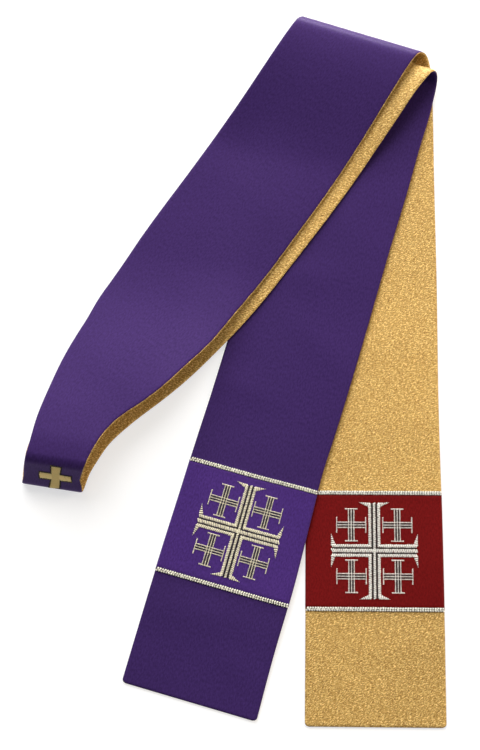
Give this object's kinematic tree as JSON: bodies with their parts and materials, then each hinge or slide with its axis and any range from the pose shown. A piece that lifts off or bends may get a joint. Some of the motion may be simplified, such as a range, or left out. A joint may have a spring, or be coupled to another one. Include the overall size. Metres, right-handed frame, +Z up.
{
  "type": "clerical stole",
  "caption": "Long reversible clerical stole, purple satin backed with gold lame, folded over on itself, with bands, braid and Jerusalem crosses near its ends.",
  "frame": {"origin": "middle of the folded stole's footprint, on the surface it lies on", "axes": "+Z up out of the surface, +Y from the hanging ends toward the fold, +X to the right seen from above with the fold away from the viewer"},
  "size_m": [0.4223, 0.7345, 0.0471],
  "materials": {
    "purple_satin": "satin, soft sheen",
    "gold_lame": "metallic lame, fine sparkle",
    "violet_band": "satin, soft sheen",
    "red_band": "satin, dark red",
    "gold_braid": "metal thread braid, pale gold",
    "silver_braid": "metal thread braid, silver white",
    "gold_thread": "satin stitch in pale gold thread",
    "silver_thread": "satin stitch in silver thread"
  },
  "bodies": {
    "root": {"neck_purple": "purple_satin", "neck_gold": "gold_lame", "over_upper_purple": "purple_satin", "over_upper_gold": "gold_lame", "over_fold_purple": "purple_satin", "over_fold_gold": "gold_lame", "over_lower_purple": "purple_satin", "over_lower_gold": "gold_lame", "under_upper_purple": "purple_satin", "under_upper_gold": "gold_lame", "under_fold_purple": "purple_satin", "under_fold_gold": "gold_lame", "under_lower_purple": "purple_satin", "under_lower_gold": "gold_lame", "over_band": "red_band", "over_trim_low": "silver_braid", "over_trim_high": "silver_braid", "over_cross": "silver_thread", "over_cross_upper_left": "silver_thread", "over_cross_upper_right": "silver_thread", "over_cross_lower_left": "silver_thread", "over_cross_lower_right": "silver_thread", "under_band": "violet_band", "under_trim_low": "gold_braid", "under_trim_high": "gold_braid", "under_cross": "gold_thread", "under_cross_upper_left": "gold_thread", "under_cross_upper_right": "gold_thread", "under_cross_lower_left": "gold_thread", "under_cross_lower_right": "gold_thread", "neck_cross": "gold_thread"}
  },
  "joints": []
}
